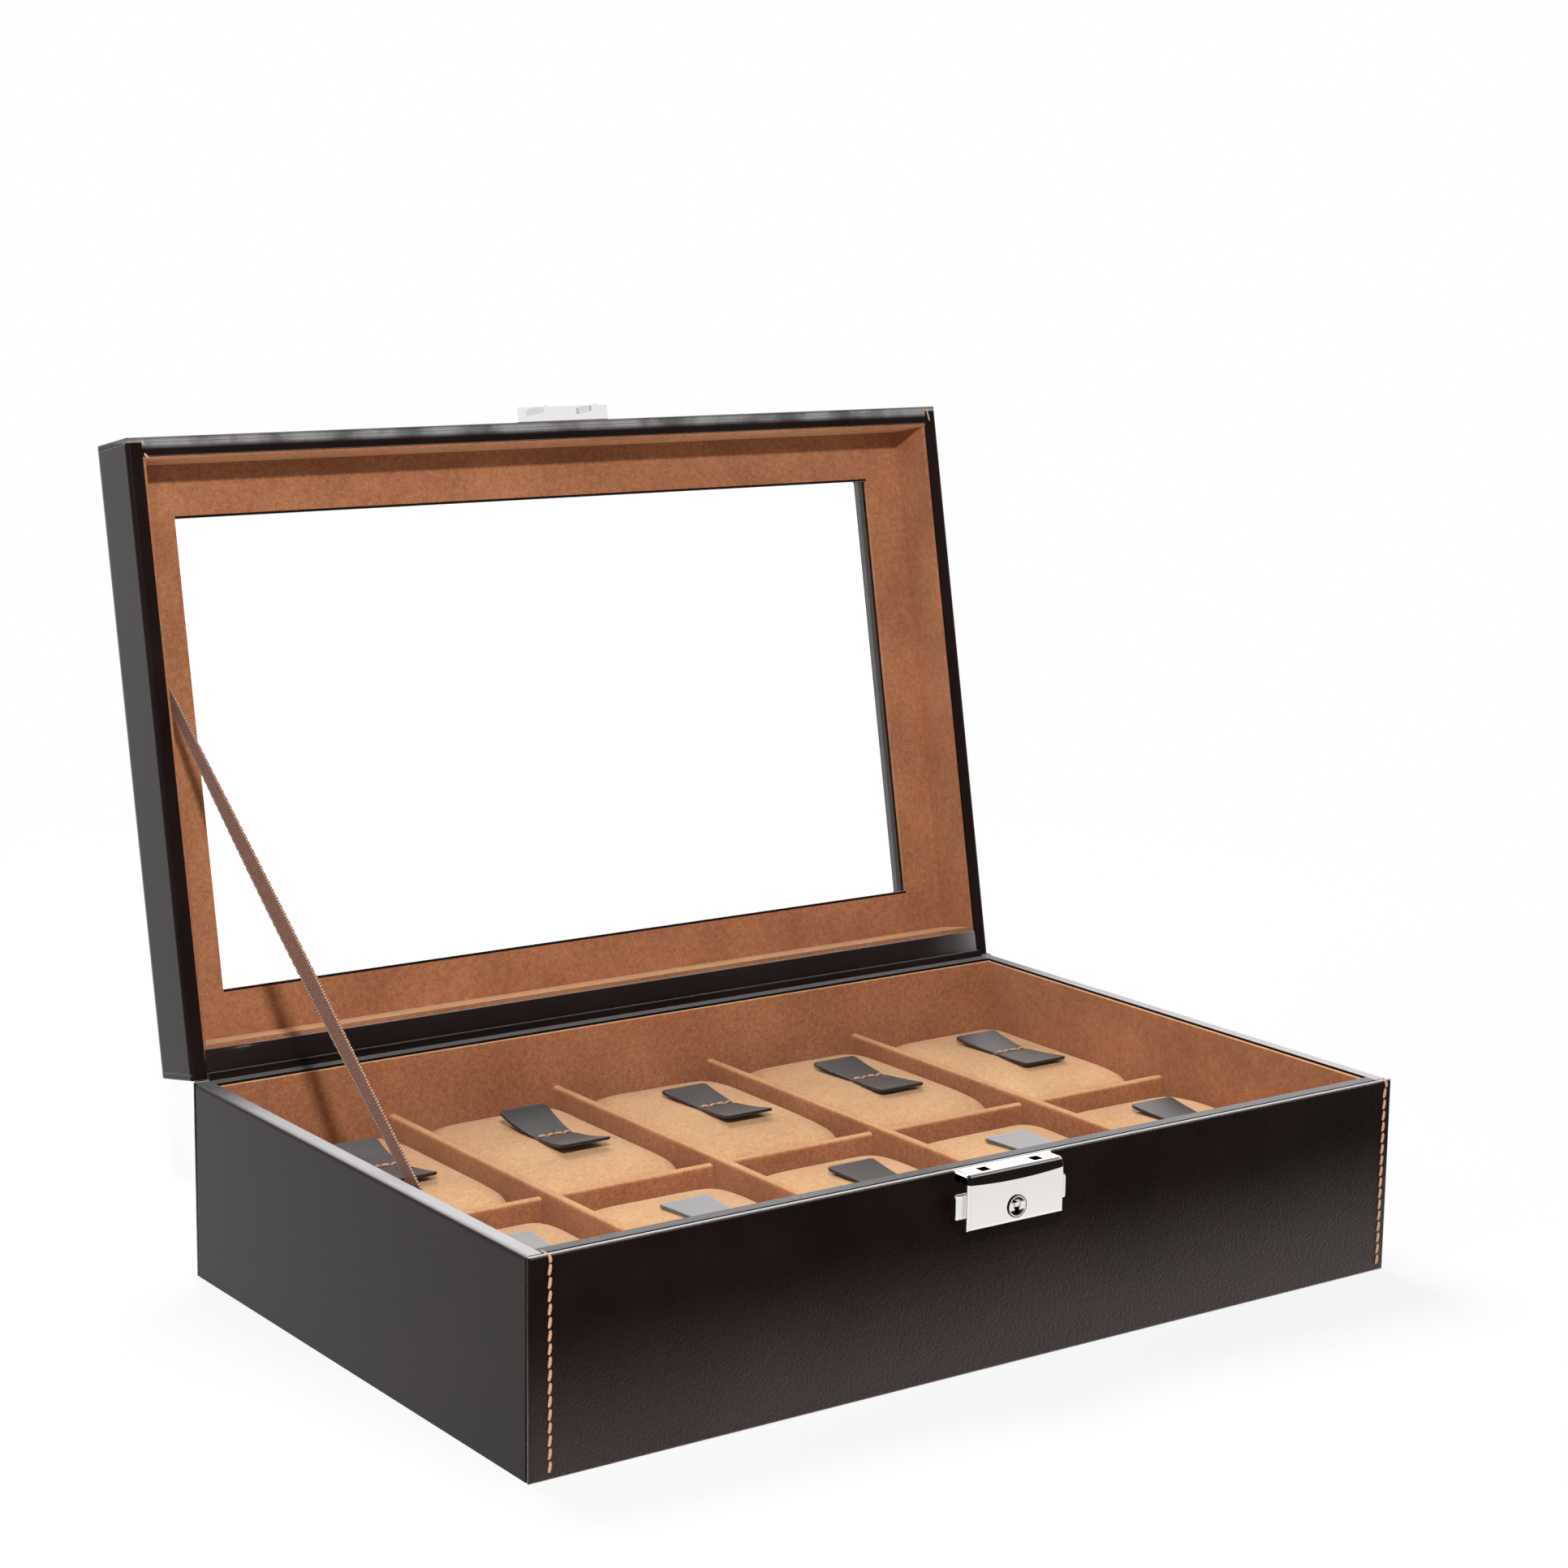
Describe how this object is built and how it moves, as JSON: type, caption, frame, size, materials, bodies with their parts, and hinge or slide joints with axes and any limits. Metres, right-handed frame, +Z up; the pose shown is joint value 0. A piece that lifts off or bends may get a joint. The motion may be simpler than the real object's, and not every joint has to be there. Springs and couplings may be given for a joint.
{
  "type": "watch case",
  "caption": "Leather-covered watch case with a glazed lift-up lid on a ribbon stay, a push-button lock, velvet-lined compartments and a lift-out pillow in each",
  "frame": {"origin": "middle of the underside, on the surface the case stands on", "axes": "+X to the right along the front, +Y towards the hinge, +Z up"},
  "size_m": [0.33, 0.281, 0.275],
  "materials": {
    "leather": "grained semi-gloss",
    "tab_leather": "semi-gloss",
    "velvet": "short pile",
    "pillow_velvet": "short pile",
    "board": "raw",
    "underside": "matte",
    "chrome": "polished",
    "steel": "satin",
    "glass": "clear",
    "ribbon": "satin weave"
  },
  "bodies": {
    "case": {"base_floor_board": "board", "base_wall_boards": "board", "base_front_cover": "leather", "base_back_cover": "leather", "base_left_cover": "leather", "base_right_cover": "leather", "base_front_rim": "leather", "underside_cloth": "underside", "base_front_lining": "velvet", "base_back_lining": "velvet", "base_left_lining": "velvet", "base_right_lining": "velvet", "base_floor_lining": "velvet", "long_dividers": "velvet", "cross_dividers": "velvet", "lock_back_plate": "chrome", "lock_case": "chrome"},
    "lid": {"lid_top_board": "board", "lid_wall_boards": "board", "lid_main_cover": "leather", "lid_front_cover": "leather", "lid_back_cover": "leather", "lid_front_rim": "leather", "lid_front_lining": "velvet", "lid_back_lining": "velvet", "lid_left_lining": "velvet", "lid_right_lining": "velvet", "window_frame_lining": "velvet", "window_glass": "glass", "latch_plate": "chrome", "inner_hinge_strip": "leather", "outer_hinge_strip": "leather", "stay_ribbon": "ribbon"},
    "left_button": {"left_button": "chrome", "left_button_spring": "steel"},
    "right_button": {"right_button": "chrome", "right_button_spring": "steel"},
    "lock_barrel": {"lock_barrel": "chrome", "lock_cam": "steel"},
    "pillow_1": {"pillow_1": "pillow_velvet", "tab_1": "tab_leather"},
    "pillow_2": {"pillow_2": "pillow_velvet", "tab_2": "tab_leather"},
    "pillow_3": {"pillow_3": "pillow_velvet", "tab_3": "tab_leather"},
    "pillow_4": {"pillow_4": "pillow_velvet", "tab_4": "tab_leather"},
    "pillow_5": {"pillow_5": "pillow_velvet", "tab_5": "tab_leather"},
    "pillow_6": {"pillow_6": "pillow_velvet", "tab_6": "tab_leather"},
    "pillow_7": {"pillow_7": "pillow_velvet", "tab_7": "tab_leather"},
    "pillow_8": {"pillow_8": "pillow_velvet", "tab_8": "tab_leather"},
    "pillow_9": {"pillow_9": "pillow_velvet", "tab_9": "tab_leather"},
    "pillow_10": {"pillow_10": "pillow_velvet", "tab_10": "tab_leather"}
  },
  "joints": [
    {"name": "lid_hinge", "type": "hinge", "parent": "case", "child": "lid", "pos_m": [0, 0.104, 0.065], "axis": [-1, 0, 0], "range_deg": [-101, 0], "deforming": ["inner_hinge_strip", "outer_hinge_strip", "stay_ribbon"]},
    {"name": "left_button_push", "type": "slide", "parent": "case", "child": "left_button", "axis": [1, 0, 0], "range_m": [0, 0.0015], "stiffness_N_per_m": 300, "springref_m": -0.002, "deforming": ["left_button_spring"]},
    {"name": "right_button_push", "type": "slide", "parent": "case", "child": "right_button", "axis": [-1, 0, 0], "range_m": [0, 0.0015], "stiffness_N_per_m": 300, "springref_m": -0.002, "deforming": ["right_button_spring"]},
    {"name": "key_turn", "type": "hinge", "parent": "case", "child": "lock_barrel", "pos_m": [0, -0.108, 0.0528], "axis": [0, 1, 0], "range_deg": [-90, 0]},
    {"name": "pillow_1_lift", "type": "slide", "parent": "case", "child": "pillow_1", "axis": [0, 0, 1], "range_m": [0, 0.07]},
    {"name": "pillow_2_lift", "type": "slide", "parent": "case", "child": "pillow_2", "axis": [0, 0, 1], "range_m": [0, 0.07]},
    {"name": "pillow_3_lift", "type": "slide", "parent": "case", "child": "pillow_3", "axis": [0, 0, 1], "range_m": [0, 0.07]},
    {"name": "pillow_4_lift", "type": "slide", "parent": "case", "child": "pillow_4", "axis": [0, 0, 1], "range_m": [0, 0.07]},
    {"name": "pillow_5_lift", "type": "slide", "parent": "case", "child": "pillow_5", "axis": [0, 0, 1], "range_m": [0, 0.07]},
    {"name": "pillow_6_lift", "type": "slide", "parent": "case", "child": "pillow_6", "axis": [0, 0, 1], "range_m": [0, 0.07]},
    {"name": "pillow_7_lift", "type": "slide", "parent": "case", "child": "pillow_7", "axis": [0, 0, 1], "range_m": [0, 0.07]},
    {"name": "pillow_8_lift", "type": "slide", "parent": "case", "child": "pillow_8", "axis": [0, 0, 1], "range_m": [0, 0.07]},
    {"name": "pillow_9_lift", "type": "slide", "parent": "case", "child": "pillow_9", "axis": [0, 0, 1], "range_m": [0, 0.07]},
    {"name": "pillow_10_lift", "type": "slide", "parent": "case", "child": "pillow_10", "axis": [0, 0, 1], "range_m": [0, 0.07]}
  ]
}
